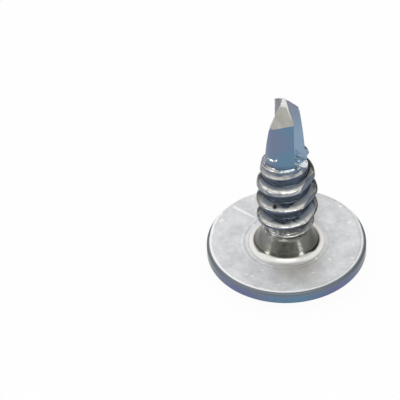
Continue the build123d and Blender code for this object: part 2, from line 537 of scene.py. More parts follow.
# %% [markdown]
# ## The blank as a mesh
# Each ring joins the next with quads, and a fan of triangles closes each end. The limit that a ring
# carries goes along as an attribute, one number for each point, for the rolling tree to read.

# %% Build the blank
def grid_mesh(name, rings, first_pole, last_pole):
    """A closed skin over rings of points, with a pole at each end; faces point outwards."""
    points = np.concatenate([[first_pole]] + rings + [[last_pole]])
    count, last = len(rings), len(points) - 1
    after = np.roll(column, -1)
    faces = [(0, 1 + a, 1 + b) for a, b in zip(column, after)]
    for ring in range(count - 1):
        low, high = 1 + ring * columns, 1 + (ring + 1) * columns
        faces += [(low + a, low + b, high + b, high + a) for a, b in zip(column, after)]
    low = 1 + (count - 1) * columns
    faces += [(low + a, low + b, last) for a, b in zip(column, after)]
    mesh = bpy.data.meshes.new(name)
    mesh.from_pydata(points.tolist(), [], faces)
    return mesh


def on_points(mesh, name, per_ring):
    values = np.concatenate([[0.0]] + per_ring + [[0.0]]).astype(np.float32)
    mesh.attributes.new(name, "FLOAT", "POINT").data.foreach_set("value", values)


placed = [np.concatenate([r[:, None] * direction(a), z[:, None]], 1) for a, r, z, _ in rings]
blank_mesh = grid_mesh("screw_blank", placed, (0, 0, crown_level + recess_depth), (0, 0, tip_level))
on_points(blank_mesh, "limit", [limit for _, _, _, limit in rings])
blank = bpy.data.objects.new("screw_blank", blank_mesh)
scene.collection.objects.link(blank)
print("blank:", len(blank_mesh.vertices), "points,", len(rings), "rings")

# %% [markdown]
# ## Eased edges
# One more number rides on the points. It says where the tree may ease the mesh, beside the lips and
# the heels, so that these edges run smoothly up the blade and aren't ragged.

# %% Which columns are eased
ease_from = 5.0
steps_off = np.minimum(np.abs(place_in_half - land_columns),
                       np.minimum(place_in_half, half - place_in_half))
by_column = np.clip(1.5 - 0.5 * steps_off, 0, 1)
ease = [np.where(height > ease_from, by_column, 0) if index < side_rings - 1 else no_limit
        for index, (_, _, height, _) in enumerate(rings)]
on_points(blank_mesh, "ease", ease)
print("eased columns:", int((by_column > 0).sum()))

# %% [markdown]
# ## Worn edges
# Edges knock against other screws in the box, so the film is worn off on the outer 0.1 mm beside them
# and at the tip. The same bare band also paints thin highlights along the lips, the heels and the tip.
# Another number says how far. It is measured from the real distance to the edge, because the columns
# lie closer together than the wear is wide.

# %% How worn each edge is
wear_width, wear_from = 0.08, 8.0
hard_wear_from, soft_wear = 11.0, 0.35
tip_wear_from, tip_wear_full = 12.35, 12.65
at_edge = (place_in_half == 0) | (place_in_half == land_columns)
wear_and_glint = []
for index, (azimuth, radius, height, limit) in enumerate(rings):
    if height.max() < wear_from:
        wear_and_glint.append(no_limit)
        continue
    skin = smooth_min(radius, limit, pressed_round)[:, None] * direction(azimuth)
    to_edge = np.linalg.norm(skin[:, None, :] - skin[None, at_edge, :], axis=2).min(axis=1)
    line = np.clip(1.3 - to_edge / wear_width, 0, 1) * np.where(height > hard_wear_from, 1.0, soft_wear)
    point = ease_in(height, tip_wear_from, tip_wear_full) if index >= side_rings - 1 else 0
    wear_and_glint.append(np.maximum(line, point))
on_points(blank_mesh, "wear_and_glint", wear_and_glint)
print("worn points:", int((np.concatenate(wear_and_glint) > 0.3).sum()))

# %% [markdown]
# ## Thread
# Two flat dies roll the thread onto the shank: they press a groove, and the steel rises beside it into
# a ridge. The ridge follows one rule, a sharp V wound on a helix, cut off at the crest and rounded at
# the root, so Geometry Nodes roll it onto the blank. Towards the neck it fades over one turn. Towards
# the point it never fills the dies, so its crest is low, broad and a little hollow.

# %% One helper for nodes
def wire(tree, kind, *values, out=0, named=None, **settings):
    """Add a node with its settings and its inputs, in order or by name, and give back an output."""
    node = tree.nodes.new(kind)
    for key, value in settings.items():
        setattr(node, key, value)
    pairs = list(zip(node.inputs, values)) + [(node.inputs[k], v) for k, v in (named or {}).items()]
    for socket, value in pairs:
        if isinstance(value, bpy.types.NodeSocket):
            tree.links.new(value, socket)
        elif value is not None:
            socket.default_value = value
    return node.outputs[out]


MATH, VECTOR, RANGE = "ShaderNodeMath", "ShaderNodeVectorMath", "ShaderNodeMapRange"
NOISE, SPLIT, NAMED = "ShaderNodeTexNoise", "ShaderNodeSeparateXYZ", "GeometryNodeInputNamedAttribute"
TIMES, MINUS = {"operation": "MULTIPLY"}, {"operation": "SUBTRACT"}
print("kinds of node named:", MATH, VECTOR, RANGE, NOISE, SPLIT, NAMED)

# %% [markdown]
# ## Sizes of the thread
# The tree's inputs are the sizes that a thread maker would ask for, in millimetres, so another thread
# is only a matter of other numbers.

# %% The rolling tree and its inputs
tree = bpy.data.node_groups.new("roll_thread", "GeometryNodeTree")
sizes = {"Pitch": 1.46, "Thread radius": 2.12, "Crest width": 0.18, "Flank angle": radians(60),
         "Crest level": 5.53, "Root rounding": 0.24, "Crest rounding": 0.16,
         "Run-out start": 1.15, "Run-out radius": 1.357, "Run-out length": 1.35,
         "Lead-in start": 5.3, "Lead-in end": 7.85, "Lead-in radius": 1.62,
         "Hollow": 0.02, "Unevenness": 0.08, "Off centre": off_centre}
tree.interface.new_socket("Geometry", in_out="INPUT", socket_type="NodeSocketGeometry")
for name in sizes:
    tree.interface.new_socket(name, in_out="INPUT", socket_type="NodeSocketFloat")
tree.interface.new_socket("Seed", in_out="INPUT", socket_type="NodeSocketInt")
tree.interface.new_socket("Finish", in_out="INPUT", socket_type="NodeSocketMaterial")
tree.interface.new_socket("Geometry", in_out="OUTPUT", socket_type="NodeSocketGeometry")
given = tree.nodes.new("NodeGroupInput").outputs
print("inputs:", ", ".join(sizes))

# %% [markdown]
# ## Distance from the ridge
# A helix climbs one pitch in each turn. So a point's height, less the part of a turn that it lies
# round the axis, tells in pitches how far it is from the nearest turn's middle line.

# %% Where a point lies
position = wire(tree, "GeometryNodeInputPosition")
x, y, z = (wire(tree, SPLIT, position, out=axis) for axis in range(3))
flat = wire(tree, VECTOR, position, (1, 1, 0), **TIMES)
skin_radius = wire(tree, VECTOR, flat, operation="LENGTH", out=1)
outward = wire(tree, VECTOR, flat, operation="NORMALIZE")
angle = wire(tree, MATH, y, x, operation="ARCTAN2")
turns = wire(tree, MATH, angle, 1 / (2 * np.pi), -0.5, operation="MULTIPLY_ADD")
above = wire(tree, MATH, z, given["Crest level"], **MINUS)
climbed = wire(tree, MATH, above, given["Pitch"], operation="DIVIDE")
in_turns = wire(tree, MATH, climbed, turns, **MINUS)
from_line = wire(tree, MATH, in_turns, 0.5, operation="PINGPONG")
away = wire(tree, MATH, from_line, given["Pitch"], **TIMES)
print("distance from the ridge:", len(tree.nodes), "nodes so far")

# %% [markdown]
# ## The sharp V
# Sheet metal threads have flanks at sixty degrees. The V is drawn up to its sharp apex here, above the
# true crest, and is cut off and rounded later.

# %% The V of the ridge
half_angle = wire(tree, MATH, given["Flank angle"], 0.5, **TIMES)
slope = wire(tree, MATH, half_angle, operation="TANGENT")
half_crest = wire(tree, MATH, given["Crest width"], 0.5, **TIMES)
cut_off = wire(tree, MATH, half_crest, slope, operation="DIVIDE")
apex = wire(tree, MATH, given["Thread radius"], cut_off, operation="ADD")
fallen = wire(tree, MATH, away, slope, operation="DIVIDE")
vee = wire(tree, MATH, apex, fallen, **MINUS)
print("the V:", len(tree.nodes), "nodes so far")

# %% [markdown]
# ## How high the ridge stands
# The ridge grows out of the neck over about one turn, and shrinks again towards the point. A slow
# noise makes the crest wander by a few hundredths of a millimetre, because the steel flows unevenly,
# and the dies pressed the thread a little off the blank's centre.

# %% Ceiling of the crest
full_from = wire(tree, MATH, given["Run-out start"], given["Run-out length"], operation="ADD")
rise = wire(tree, RANGE, z, given["Run-out start"], full_from,
            given["Run-out radius"], given["Thread radius"], clamp=False)
fall = wire(tree, RANGE, z, given["Lead-in start"], given["Lead-in end"],
            given["Thread radius"], given["Lead-in radius"], clamp=False)
past_end = wire(tree, MATH, given["Lead-in end"], z, **MINUS)
fade = wire(tree, MATH, past_end, 3.0, given["Lead-in radius"], operation="MULTIPLY_ADD")
full = wire(tree, MATH, rise, given["Thread radius"], operation="MINIMUM")
lower = wire(tree, MATH, full, fall, 0.1, operation="SMOOTH_MIN")
allowed = wire(tree, MATH, lower, fade, 0.1, operation="SMOOTH_MIN")
grain = wire(tree, NOISE, position, noise_dimensions="4D",
             named={"W": given["Seed"], "Scale": 1.3, "Detail": 2.0})
swing = wire(tree, MATH, grain, 0.5, **MINUS)
level_ceiling = wire(tree, MATH, swing, given["Unevenness"], allowed, operation="MULTIPLY_ADD")
sideways = wire(tree, MATH, x, skin_radius, operation="DIVIDE")
ceiling = wire(tree, MATH, sideways, given["Off centre"], level_ceiling, operation="MULTIPLY_ADD")
print("ceiling:", len(tree.nodes), "nodes so far")

# %% [markdown]
# ## Hollow crests
# Steel rises first along both flanks of the die's groove. Where the groove isn't filled, the two rises
# leave a shallow hollow along the middle of a broad crest.

# %% Hollow of a broad crest
spare = wire(tree, MATH, apex, ceiling, **MINUS)
broad = wire(tree, MATH, spare, slope, **TIMES)
safe_broad = wire(tree, MATH, broad, 0.01, operation="MAXIMUM")
across = wire(tree, MATH, away, safe_broad, operation="DIVIDE")
square = wire(tree, MATH, across, 2.0, operation="POWER")
bowl = wire(tree, MATH, 1.0, square, operation="SUBTRACT", use_clamp=True)
unfilled = wire(tree, RANGE, broad, 0.1, 0.25, 0.0, given["Hollow"])
dip = wire(tree, MATH, bowl, unfilled, **TIMES)
crest = wire(tree, MATH, ceiling, dip, **MINUS)
print("hollow:", len(tree.nodes), "nodes so far")

# %% [markdown]
# ## Roll and press
# The larger of the blank and the ridge is the rolled shank, and the smaller of that and the flutes'
# limit is the pressed one. Each point keeps its height and moves straight out or in. How much of the
# ridge stands at a point, and whether a flute's wall was pressed there, are stored for the plating.

# %% Set the points
tooth = wire(tree, MATH, vee, crest, given["Crest rounding"], operation="SMOOTH_MIN")
rolled = wire(tree, MATH, skin_radius, tooth, given["Root rounding"], operation="SMOOTH_MAX")
limit = wire(tree, NAMED, "limit", data_type="FLOAT")
ease_by = wire(tree, NAMED, "ease", data_type="FLOAT")
pressed = wire(tree, MATH, rolled, limit, pressed_round, operation="SMOOTH_MIN")
on_shank = wire(tree, MATH, limit, 0.0, operation="GREATER_THAN")
pressed_here = wire(tree, MATH, rolled, limit, operation="GREATER_THAN")
level = wire(tree, "ShaderNodeCombineXYZ", None, None, z)
reached = wire(tree, VECTOR, outward, named={"Scale": pressed}, operation="SCALE")
target = wire(tree, VECTOR, reached, level, operation="ADD")
stands = wire(tree, MATH, tooth, skin_radius, **MINUS)
could_stand = wire(tree, MATH, ceiling, skin_radius, **MINUS)
might_stand = wire(tree, MATH, could_stand, 0.1, operation="MAXIMUM")
ridge_share = wire(tree, MATH, stands, might_stand, operation="DIVIDE", use_clamp=True)
marked = wire(tree, "GeometryNodeStoreNamedAttribute", given["Geometry"], on_shank, "pressed",
              pressed_here, data_type="FLOAT", domain="POINT")
ranked = wire(tree, "GeometryNodeStoreNamedAttribute", marked, on_shank, "ridge",
              ridge_share, data_type="FLOAT", domain="POINT")
shaped = wire(tree, "GeometryNodeSetPosition", ranked, on_shank, target)
settled = wire(tree, "GeometryNodeBlurAttribute", data_type="FLOAT_VECTOR",
               named={"Value": position, "Iterations": 2, "Weight": ease_by})
eased = wire(tree, "GeometryNodeSetPosition", shaped, None, settled)
real = wire(tree, "GeometryNodeRealizeInstances", eased)
finished = wire(tree, "GeometryNodeSetMaterial", real, None, given["Finish"])
result = tree.nodes.new("NodeGroupOutput")
tree.links.new(finished, result.inputs[0])
print("rolling tree:", len(tree.nodes), "nodes")

# %% [markdown]
# ## Zinc plating
# The steel is plated with a few thousandths of a millimetre of zinc and passivated clear blue. Rolled
# and pressed faces stay bright, take the blue of the film and drift towards violet and olive. The
# bearing face, left as the die forged it, is satin and pale, and the crests are rubbed light. Much light
# and shade is painted into the colour too: dark valleys, pale crests and edges, light and dark flute
# walls, a grey rim top, a bright ring and fillet on the face, a warm shade in front of the neck. All of
# it is one material, because it is one bath of plating. A painted picture could carry these colours,
# but patterns worked out from each point's own place need no unwrapping and stay sharp close by.

# %% Colours and the material
def linear(hex_colour):
    """An sRGB hex colour as the linear colour that a shader wants."""
    part = [int(hex_colour[i:i + 2], 16) / 255 for i in (1, 3, 5)]
    return [p / 12.92 if p <= 0.04045 else ((p + 0.055) / 1.055) ** 2.4 for p in part] + [1.0]


MIX, ATTRIBUTE = "ShaderNodeMix", "ShaderNodeAttribute"
COLOUR = {"data_type": "RGBA", "out": 2}    # a Mix node's factor is input 0, its colours are 6 and 7
# the pale colour serves both rubbed film and painted highlights
bare, pale_rub_and_highlight = linear("#ffffff"), linear("#efeeea")

zinc = bpy.data.materials.new("zinc_plated_steel_blue_passivated")
zinc.use_nodes = True
nodes = zinc.node_tree
shader = nodes.nodes["Principled BSDF"]
shader.inputs["Metallic"].default_value = 1.0
print("material:", zinc.name)

# %% [markdown]
# ## Places on the screw
# The dies, the grinder and the turning tool each worked on one zone of the screw, so the finish is
# told by measures: a point's height, its distance from the axis, how far its skin faces up, and the
# two shares that the rolling tree stored. All places are read in millimetres.

# %% Measures of a point
object_place = wire(nodes, "ShaderNodeTexCoord", out=3)
place_mm = wire(nodes, VECTOR, object_place, named={"Scale": 1000.0}, operation="SCALE")
along_x, along_y, up_mm = (wire(nodes, SPLIT, place_mm, out=axis) for axis in range(3))
level_mm = wire(nodes, VECTOR, place_mm, (1, 1, 0), **TIMES)
from_axis = wire(nodes, VECTOR, level_mm, operation="LENGTH", out=1)
from_middle = wire(nodes, MATH, along_x, operation="ABSOLUTE")
facing = wire(nodes, "ShaderNodeNewGeometry", out=1)
facing_up = wire(nodes, SPLIT, facing, out=2)
ridge = wire(nodes, ATTRIBUTE, attribute_name="ridge", out=2)
pressed_wall = wire(nodes, ATTRIBUTE, attribute_name="pressed", out=2)
unpressed = wire(nodes, MATH, 1.0, pressed_wall, **MINUS)
print("measures:", len(nodes.nodes), "nodes")

# %% [markdown]
# ## Zones
# A zone is a mask: 1 where its finish shows and 0 elsewhere. Its borders are ramps. A ramp is one Map
# Range node, which rises from 0 to 1 while a measure goes from one value to another, or between two
# given strengths. A zone with several borders is the product of its ramps. Ramps only a few hundredths
# of a millimetre wide give crisp borders, and wide ones fade.

# %% Zones with several borders
def zone(*ramps, inside=None):
    """The product of ramps (measure, from, to) or (measure, from, to, strength from, strength to)."""
    mask = inside
    for measure, *span in ramps:
        ramp = wire(nodes, RANGE, measure, *span)
        mask = wire(nodes, MATH, mask, ramp, **TIMES) if mask else ramp
    return mask


on_rim = wire(nodes, RANGE, from_axis, 5.2, 5.25)
on_thread = zone((up_mm, 0.05, 0.1), (up_mm, 8.2, 7.4))
above_neck = wire(nodes, RANGE, up_mm, 1.7, 2.5)
near_tip = wire(nodes, RANGE, up_mm, 9.5, 12.0)
print("first zones:", len(nodes.nodes), "nodes so far")

# %% [markdown]
# ## The film
# A passivated film shows its thickness as a colour. It drifts over about two millimetres between blue
# and violet, and is mottled over a few tenths where the steel was rolled. The grain of the forged
# face is finer still, and is drawn a little coarser than it is, so that it shows.

# %% Drift, mottle and grain
film_blue, film_violet, film_olive = linear("#65859f"), linear("#74809a"), linear("#7b7c70")
slate, olive = linear("#6c7682"), linear("#8a877b")
drift = wire(nodes, NOISE, place_mm, named={"Scale": 0.5, "Detail": 2.0})
mottle = wire(nodes, NOISE, place_mm, named={"Scale": 3.0, "Detail": 6.0})
fine_grain = wire(nodes, NOISE, place_mm, named={"Scale": 14.0, "Detail": 3.0})
lean = wire(nodes, RANGE, along_x, -1.4, 0.6, 0.16, -0.1)
left_drift = wire(nodes, MATH, drift, lean, operation="ADD")
to_violet = wire(nodes, RANGE, left_drift, 0.5, 0.7)
to_olive = wire(nodes, RANGE, mottle, 0.6, 0.8)
blue_violet = wire(nodes, MIX, named={0: to_violet, 6: film_blue, 7: film_violet}, **COLOUR)
smooth_film = wire(nodes, MIX, named={0: to_olive, 6: blue_violet, 7: film_olive}, **COLOUR)
patchy = wire(nodes, RANGE, mottle, 0.35, 0.75)
worked_film = wire(nodes, MIX, named={0: patchy, 6: slate, 7: olive}, **COLOUR)
print("film:", len(nodes.nodes), "nodes so far")

# %% [markdown]
# ## Thread and neck
# The valleys of the thread are painted dark slate, a painted shade where light hardly reaches, and the
# film lies thick there too. The undersides of the crests are painted darker: painted shade. The neck was
# only forged, so it is olive, darker towards one side. Colours are laid over one another like coats, each
# where its mask says.

# %% Film of the thread and the neck
valley_shade_slate, valley_shade_violet, under_crest_shade_slate = linear("#434b55"), linear("#4b5468"), linear("#56607a")
deep_olive = linear("#62635a")
# painted shade: the valleys and the undersides of the crests are darkened
valley_shade = wire(nodes, RANGE, ridge, 0.45, 0.1)
on_ridge = wire(nodes, MATH, 1.0, valley_shade, **MINUS)
shade_under_crest = zone((facing_up, 0.3, 0.05, 0.0, 0.85), inside=on_ridge)
neck_side = wire(nodes, RANGE, along_x, 0.7, 1.6, 0.0, 0.8)
valley_drift = wire(nodes, RANGE, drift, 0.45, 0.6)
valley_shade_tint = wire(nodes, MIX, named={0: valley_drift, 6: valley_shade_slate, 7: valley_shade_violet}, **COLOUR)
thread_film = neck_film = worked_film
for mask, colour in ((valley_shade, valley_shade_tint), (shade_under_crest, under_crest_shade_slate)):
    thread_film = wire(nodes, MIX, named={0: mask, 6: thread_film, 7: colour}, **COLOUR)
for mask, colour in ((0.5, olive), (neck_side, deep_olive)):
    neck_film = wire(nodes, MIX, named={0: mask, 6: neck_film, 7: colour}, **COLOUR)
in_thread = wire(nodes, MIX, named={0: above_neck, 6: neck_film, 7: thread_film}, **COLOUR)
print("thread and neck:", len(nodes.nodes), "nodes so far")

# %% [markdown]
# ## Walls of the flutes
# The flutes' walls are painted a light blue, a painted reflection, that turns grey at the tip, and the
# far wall is painted dark, a painted shade. Where the flute runs out, its sloping floor is painted pale
# towards one side, a painted reflection.

# %% Film of the flutes
# painted reflection on the walls and the floor, painted shade on the far wall
wall_reflection_blue, wall_grey, far_wall_shade_dark = linear("#8aa1b8"), linear("#83899a"), linear("#63606c")
floor_grey, floor_reflection_pale = linear("#a3a2ae"), linear("#e4ecf1")
flute_wall = zone((up_mm, 6.8, 7.0), (from_axis, 1.7, 1.62), inside=pressed_wall)
far_wall_shade = zone((along_x, -0.1, -0.3), (up_mm, 9.5, 12.0), inside=flute_wall)
on_floor = zone((facing_up, 0.3, 0.5), inside=flute_wall)
floor_reflection_share = wire(nodes, RANGE, along_x, -0.5, 0.5)
wall_reflection_film = wire(nodes, MIX, named={0: near_tip, 6: wall_reflection_blue, 7: wall_grey}, **COLOUR)
floor_reflection_film = wire(nodes, MIX, named={0: floor_reflection_share, 6: floor_grey, 7: floor_reflection_pale}, **COLOUR)
print("flutes:", len(nodes.nodes), "nodes so far")

# %% [markdown]
# ## Rim of the head
# Round the rim the film drifts from blue to violet and on to green. Its upper band is painted a lighter
# grey, a painted reflection of the brighter room above.

# %% Film of the rim, and the coats so far
rim_violet, rim_green, rim_reflection_grey = linear("#6e7398"), linear("#69726f"), linear("#7f868c")
rim_end = wire(nodes, RANGE, from_middle, 4.4, 5.2)
rim_tinted = zone((from_middle, 1.2, 3.0, 0.0, 0.85), inside=on_rim)
# painted reflection: the upper band of the rim is lighter grey
rim_top_reflection = zone((up_mm, -0.4, -0.1, 0.0, 0.9), inside=on_rim)
rim_drift = wire(nodes, MIX, named={0: rim_end, 6: rim_violet, 7: rim_green}, **COLOUR)
coat = smooth_film
for mask, colour in ((on_thread, in_thread), (flute_wall, wall_reflection_film), (far_wall_shade, far_wall_shade_dark),
                     (on_floor, floor_reflection_film), (rim_tinted, rim_drift), (rim_top_reflection, rim_reflection_grey)):
    coat = wire(nodes, MIX, named={0: mask, 6: coat, 7: colour}, **COLOUR)
print("film and its zones:", len(nodes.nodes), "nodes so far")

# %% [markdown]
# ## Rubbed crests and painted highlights
# The crests touch the dies, the drum and the other screws, so the film is rubbed off their upper
# sides; the pale colour there is also a painted highlight, which fades towards the sides. One side of the
# shoulder under the blade is painted with a highlight. The rub is uneven, as it is by hand or drum.

# %% Masks of the rubbed crests and painted highlights
# painted highlight on the upper sides of the crests, partly rubbed film
crest_rub_and_highlight = zone((ridge, 0.55, 0.8), (facing_up, 0.12, 0.35), (from_middle, 1.45, 1.9, 1.0, 0.3),
                 (up_mm, 4.9, 6.0, 0.7, 1.0), (up_mm, 7.6, 7.9, 1.0, 0.6), (mottle, 0.3, 0.6, 0.45, 1.0))
# painted highlight along the left of the shoulder
shoulder_highlight = zone((up_mm, 7.5, 7.6), (up_mm, 8.9, 8.8), (from_axis, 1.38, 1.44),
                    (facing_up, 0.25, 0.45), (along_x, -0.4, -0.75, 0.1, 0.75))
rub_and_highlight = wire(nodes, MATH, crest_rub_and_highlight, shoulder_highlight, operation="MAXIMUM")
on_crest_rub_and_highlight = wire(nodes, MATH, rub_and_highlight, unpressed, **TIMES)
print("rubbed crests:", len(nodes.nodes), "nodes so far")

# %% [markdown]
# ## Pits and specks
# Scale that the dies pressed in leaves a few dark pits in the thread, each about half a millimetre
# wide. Where the thread runs out into the neck, the film flaked off in light specks.

# %% Masks of the pits and specks
pit_dark = linear("#22262c")
pits = ((-0.5, -1.62, 6.69), (0.79, -1.56, 5.63), (-0.82, -1.7, 4.72))
nearest_pit = None
for pit in pits:
    to_pit = wire(nodes, VECTOR, place_mm, pit, operation="DISTANCE", out=1)
    nearest_pit = wire(nodes, MATH, nearest_pit or to_pit, to_pit, operation="MINIMUM")
frayed = wire(nodes, MATH, fine_grain, 0.2, nearest_pit, operation="MULTIPLY_ADD")
in_pit = wire(nodes, RANGE, frayed, 0.36, 0.27)
speck_noise = wire(nodes, NOISE, place_mm, named={"Scale": 2.6, "Detail": 2.0})
specks = zone((speck_noise, 0.52, 0.6, 0.0, 0.5), (up_mm, 1.25, 1.5), (up_mm, 2.4, 2.0),
              (along_x, 0.7, -0.3, 0.15, 1.0))
print("pits:", len(pits))

# %% [markdown]
# ## Crown and facets
# The crown rests on other parts in the box and takes warm patches. The two facets of the tip are
# ground after rolling, so they are a dull, even grey without the film's blue.

# %% Masks of the crown and the facets, and the coats over them
crown_beige, ground = linear("#a8a294"), linear("#bebdb6")
crown_patch = zone((up_mm, -1.05, -1.2), (mottle, 0.4, 0.65, 0.1, 0.9))
on_facet = zone((facing_up, 0.45, 0.55), (up_mm, 10.6, 10.8))
for mask, colour in ((on_crest_rub_and_highlight, pale_rub_and_highlight), (in_pit, pit_dark), (specks, pale_rub_and_highlight), (crown_patch, crown_beige),
                     (on_facet, ground)):
    coat = wire(nodes, MIX, named={0: mask, 6: coat, 7: colour}, **COLOUR)
print("coats of the shank and the head:", len(nodes.nodes), "nodes so far")

# %% [markdown]
# ## Where the bearing face lies
# The bearing face is the level ring under the neck. Its mask reads the height, how far the skin faces
# up, and the distance from the axis. In front it reaches a little up the fillet of the neck, and at
# the back it goes a little further out.

# %% Mask of the bearing face
foot_rise = wire(nodes, RANGE, along_y, -1.2, -2.0, 0.0, 0.3)
over_foot = wire(nodes, MATH, up_mm, foot_rise, **MINUS)
back_reach = wire(nodes, RANGE, along_y, 1.0, 4.0, 0.0, 0.25)
inner_axis = wire(nodes, MATH, from_axis, back_reach, **MINUS)
on_bearing = zone((over_foot, 0.13, 0.06), (facing_up, 0.44, 0.6), (inner_axis, 5.34, 5.28))
print("bearing face:", len(nodes.nodes), "nodes so far")

# %% [markdown]
# ## Satin face
# The forging die leaves the face satin: cloudy over millimetres and speckled over tenths. Faint rings
# lie round the neck, a third of a millimetre apart, where the die's insert was turned on a lathe.

# %% Clouds, specks and rings of the face
satin = linear("#f3f4f6")
ring_rate = 19.0        # radians of the wave for each millimetre
cloud = wire(nodes, NOISE, place_mm, named={"Scale": 0.75, "Detail": 4.0})
ring_way = wire(nodes, MATH, from_axis, ring_rate, **TIMES)
ring_wave = wire(nodes, MATH, ring_way, operation="SINE")
ringed = zone((from_axis, 2.4, 2.5), (from_axis, 3.4, 2.8), inside=ring_wave)
ring_strength = zone((along_y, -2.4, -1.2, 0.2, 1.0), (along_x, 0.0, 2.0, 1.2, 0.5), inside=ringed)
ring_tone = wire(nodes, RANGE, ring_strength, -1.0, 1.0, 0.84, 1.1, clamp=False)
tone = zone((cloud, 0.35, 0.65, 0.84, 1.0), (mottle, 0.3, 0.7, 0.92, 1.0), inside=ring_tone)
face_coat = wire(nodes, MIX, named={0: 1.0, 6: satin, 7: tone}, blend_type="MULTIPLY", **COLOUR)
print("rings every", round(2 * np.pi / ring_rate, 2), "mm")

# %% [markdown]
# ## Painted shade, flecks and painted highlights
# In front of the neck the face is painted a warm grey, a painted shade where the neck's shadow and
# reflection fall. Flecks are bare and bright, and the fillet at the neck's foot is painted with a bright
# highlight. Along the rim runs a bright ring, a painted highlight on the rounded edge that fades towards
# one side, with a fine groove inside it on one side.

# %% Coats of the face
fleck_noise = wire(nodes, NOISE, place_mm, named={"Scale": 1.9, "Detail": 1.0})
flecks = wire(nodes, RANGE, fleck_noise, 0.68, 0.74, 0.0, 0.7)
beside_neck = wire(nodes, MATH, along_x, 0.8, **MINUS)
off_neck = wire(nodes, MATH, beside_neck, operation="ABSOLUTE")
# painted shade in front of the neck
neck_shade_patch = zone((off_neck, 2.0, 0.5), (along_y, -5.0, -2.8, 0.0, 0.55))
# painted highlight on the fillet at the neck's foot
foot_highlight = wire(nodes, RANGE, from_axis, 2.66, 2.54)
groove_off = wire(nodes, MATH, inner_axis, 5.12, **MINUS)
groove_near = wire(nodes, MATH, groove_off, operation="ABSOLUTE")
groove = zone((groove_near, 0.07, 0.02), (along_x, 0.8, 2.2, 0.0, 0.22))
# painted highlight on the rounded edge of the face, weaker towards one side
wander = wire(nodes, MATH, mottle, 0.16, inner_axis, operation="MULTIPLY_ADD")
rim_highlight = zone((wander, 5.17, 5.27), (along_x, 0.5, 3.0, 1.0, 0.4))
for mask, colour in ((neck_shade_patch, crown_beige), (flecks, bare), (foot_highlight, pale_rub_and_highlight), (groove, deep_olive),
                     (rim_highlight, bare)):
    face_coat = wire(nodes, MIX, named={0: mask, 6: face_coat, 7: colour}, **COLOUR)
print("face:", len(nodes.nodes), "nodes so far")

# %% [markdown]
# ## Scratch
# One scratch crosses the bearing face. It is a line between two points: how far a point lies along it
# and beside it are two dot products, and it fades towards its inner end.

# %% Scratch across the face
scratch_start, scratch_end = Vector((-3.65, 3.78, 0)), Vector((-1.9, 2.3, 0))
scratch_way = (scratch_end - scratch_start).normalized()
scratch_length = (scratch_end - scratch_start).length
from_start = wire(nodes, VECTOR, level_mm, tuple(scratch_start), **MINUS)
along_scratch = wire(nodes, VECTOR, from_start, tuple(scratch_way), operation="DOT_PRODUCT", out=1)
beside = wire(nodes, VECTOR, from_start, (scratch_way.y, -scratch_way.x, 0),
              operation="DOT_PRODUCT", out=1)
off_scratch = wire(nodes, MATH, beside, operation="ABSOLUTE")
scratched = zone((off_scratch, 0.13, 0.06), (along_scratch, 0.0, 0.3),
                 (along_scratch, scratch_length, 1.6), inside=on_bearing)
print("scratch:", round(scratch_length, 2), "mm long")

# %% [markdown]
# ## Worn edges and the finished colour
# The lips, the heels and the tip are worn to the bare metal and painted with thin highlights, by the
# attribute that came with the blank. They are the last coat.

# %% Last coats
edge_wear_and_glint = wire(nodes, ATTRIBUTE, attribute_name="wear_and_glint", out=2)
# bare edges: worn film and painted highlights
edge_rub_and_highlight = wire(nodes, RANGE, edge_wear_and_glint, 0.3, 0.9, 0.0, 0.9)
for mask, colour in ((on_bearing, face_coat), (scratched, bare), (edge_rub_and_highlight, bare)):
    coat = wire(nodes, MIX, named={0: mask, 6: coat, 7: colour}, **COLOUR)
nodes.links.new(coat, shader.inputs["Base Color"])
print("colour:", len(nodes.nodes), "nodes so far")

# %% [markdown]
# ## Sheen
# How sharp the reflections are tells how each zone was made. Rolled faces are nearly mirrors, ground
# facets are duller, the rim's rounding and the forged face scatter most. The forged face also counts
# as less metallic: its pores hold a white bloom of zinc.

# %% Roughness and metal
rolled_sheen = wire(nodes, RANGE, mottle, 0.3, 0.7, 0.1, 0.24)
satin_sheen = wire(nodes, RANGE, fine_grain, 0.3, 0.7, 0.56, 0.68)
face_sheen = wire(nodes, MIX, named={0: foot_highlight, 2: satin_sheen, 3: 0.28}, data_type="FLOAT")
rim_round = zone((up_mm, -0.32, -0.2), inside=on_rim)
roughness = rolled_sheen
for mask, value in ((on_facet, 0.34), (on_crest_rub_and_highlight, 0.2), (rim_round, 0.55), (on_bearing, face_sheen)):
    roughness = wire(nodes, MIX, named={0: mask, 2: roughness, 3: value}, data_type="FLOAT")
dull_face = wire(nodes, RANGE, on_bearing, 0.0, 1.0, 1.0, 0.6)
# the bright ring at the rim is less metallic still, so that its painted highlight shows
rim_highlight_ring = wire(nodes, MATH, on_bearing, rim_highlight, **TIMES)
metal = wire(nodes, MATH, rim_highlight_ring, -0.35, dull_face, operation="MULTIPLY_ADD")
nodes.links.new(roughness, shader.inputs["Roughness"])
nodes.links.new(metal, shader.inputs["Metallic"])
print("sheen:", len(nodes.nodes), "nodes so far")

# %% [markdown]
# ## Fine relief
# Marks of a few hundredths of a millimetre are too small for the mesh, so a Bump node tilts the light
# there: dents of the dies, chatter in the thread, the turned rings and the film's grain. Larger forms
# stay real geometry.

